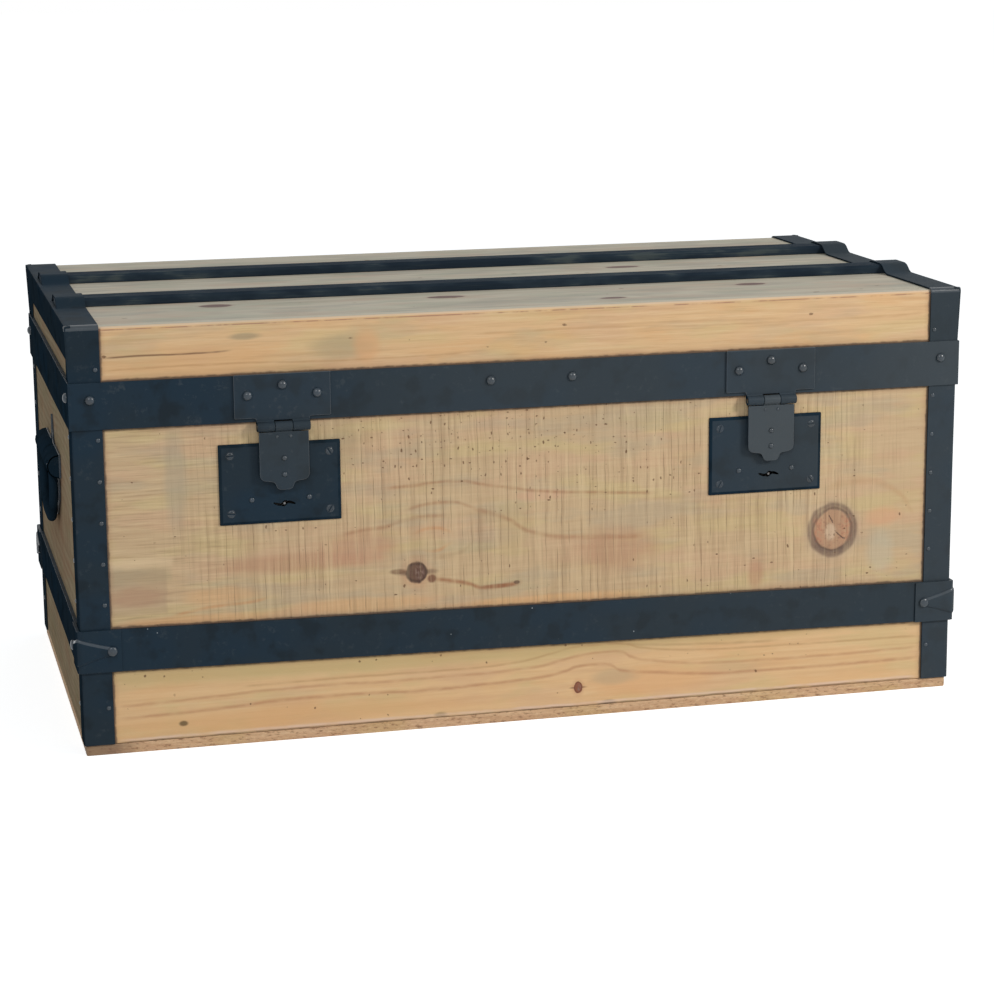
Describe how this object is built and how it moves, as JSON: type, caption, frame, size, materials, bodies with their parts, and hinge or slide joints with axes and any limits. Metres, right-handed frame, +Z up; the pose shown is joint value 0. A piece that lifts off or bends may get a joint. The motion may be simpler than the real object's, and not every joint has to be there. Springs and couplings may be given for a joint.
{
  "type": "sea chest",
  "caption": "Flat-lidded pine sea chest bound with dark painted steel bands and corners, with hasp locks in front and drop handles on its ends.",
  "frame": {"origin": "on the floor under the middle of the closed chest", "axes": "+X towards the chest's right end, +Y towards its back (the hasps face -Y), +Z up"},
  "size_m": [0.9044, 0.4866, 0.4214],
  "materials": {
    "front_pine": "sawn and waxed",
    "side_pine": "sawn and waxed, weathered",
    "top_pine": "sawn and waxed, weathered grey",
    "raw_pine": "sawn",
    "painted_steel": "semi-matt blue-black paint",
    "painted_slat": "matt blue-black paint",
    "bare_steel": "bare"
  },
  "bodies": {
    "chest": {"bottom_plank_1": "raw_pine", "bottom_plank_2": "raw_pine", "front_board_lower": "front_pine", "front_board_upper": "front_pine", "rear_board_lower": "front_pine", "rear_board_upper": "front_pine", "left_end_board_lower": "side_pine", "left_end_board_upper": "side_pine", "right_end_board_lower": "side_pine", "right_end_board_upper": "side_pine", "corner_angle_front_left": "painted_steel", "corner_angle_front_right": "painted_steel", "corner_angle_rear_left": "painted_steel", "corner_angle_rear_right": "painted_steel", "lower_band_front": "painted_steel", "lower_band_rear": "painted_steel", "lower_band_left": "painted_steel", "lower_band_right": "painted_steel", "body_band_rear": "painted_steel", "corner_clamp_front_left": "painted_steel", "corner_clamp_front_right": "painted_steel", "corner_clamp_rear_left": "painted_steel", "corner_clamp_rear_right": "painted_steel", "lock_plate_left": "painted_steel", "lock_plate_right": "painted_steel", "lock_case_left": "bare_steel", "lock_case_right": "bare_steel", "rear_hinge_body_leaf_left": "painted_steel", "rear_hinge_body_leaf_right": "painted_steel", "rear_hinge_pin_left": "bare_steel", "rear_hinge_pin_right": "bare_steel", "handle_plate_left": "painted_steel", "handle_plate_right": "painted_steel"},
    "lid": {"lid_front_board": "front_pine", "lid_rear_board": "front_pine", "lid_left_end_board": "side_pine", "lid_right_end_board": "side_pine", "lid_plank_1": "top_pine", "lid_plank_2": "top_pine", "lid_plank_3": "top_pine", "lid_slat_front": "painted_slat", "lid_slat_rear": "painted_slat", "lid_strip_left": "painted_steel", "lid_strip_right": "painted_steel", "lid_band_front": "painted_steel", "lid_band_rear": "painted_steel", "lid_band_left": "painted_steel", "lid_band_right": "painted_steel", "hasp_hinge_plate_left": "painted_steel", "hasp_hinge_plate_right": "painted_steel", "hasp_pin_left": "bare_steel", "hasp_pin_right": "bare_steel", "rear_hinge_lid_leaf_left": "painted_steel", "rear_hinge_lid_leaf_right": "painted_steel"},
    "hasp_left": {"hasp_left": "painted_steel"},
    "hasp_right": {"hasp_right": "painted_steel"},
    "lock_bolt_left": {"lock_bolt_left": "bare_steel"},
    "lock_bolt_right": {"lock_bolt_right": "bare_steel"},
    "handle_ring_left": {"handle_ring_left": "painted_steel"},
    "handle_ring_right": {"handle_ring_right": "painted_steel"}
  },
  "joints": [
    {"name": "lid_hinge", "type": "hinge", "parent": "chest", "child": "lid", "pos_m": [0, 0.2391, 0.338], "axis": [-1, 0, 0], "range_deg": [0, 95]},
    {"name": "hasp_hinge_left", "type": "hinge", "parent": "lid", "child": "hasp_left", "pos_m": [-0.2425, -0.2385, 0.3105], "axis": [-1, 0, 0], "range_deg": [0, 165]},
    {"name": "hasp_hinge_right", "type": "hinge", "parent": "lid", "child": "hasp_right", "pos_m": [0.2425, -0.2385, 0.3105], "axis": [-1, 0, 0], "range_deg": [0, 165]},
    {"name": "bolt_slide_left", "type": "slide", "parent": "chest", "child": "lock_bolt_left", "axis": [-1, 0, 0], "range_m": [0, 0.008]},
    {"name": "bolt_slide_right", "type": "slide", "parent": "chest", "child": "lock_bolt_right", "axis": [-1, 0, 0], "range_m": [0, 0.008]},
    {"name": "handle_hinge_left", "type": "hinge", "parent": "chest", "child": "handle_ring_left", "pos_m": [-0.4455, 0, 0.25], "axis": [0, 1, 0], "range_deg": [0, 90]},
    {"name": "handle_hinge_right", "type": "hinge", "parent": "chest", "child": "handle_ring_right", "pos_m": [0.4455, 0, 0.25], "axis": [0, -1, 0], "range_deg": [0, 90]}
  ]
}
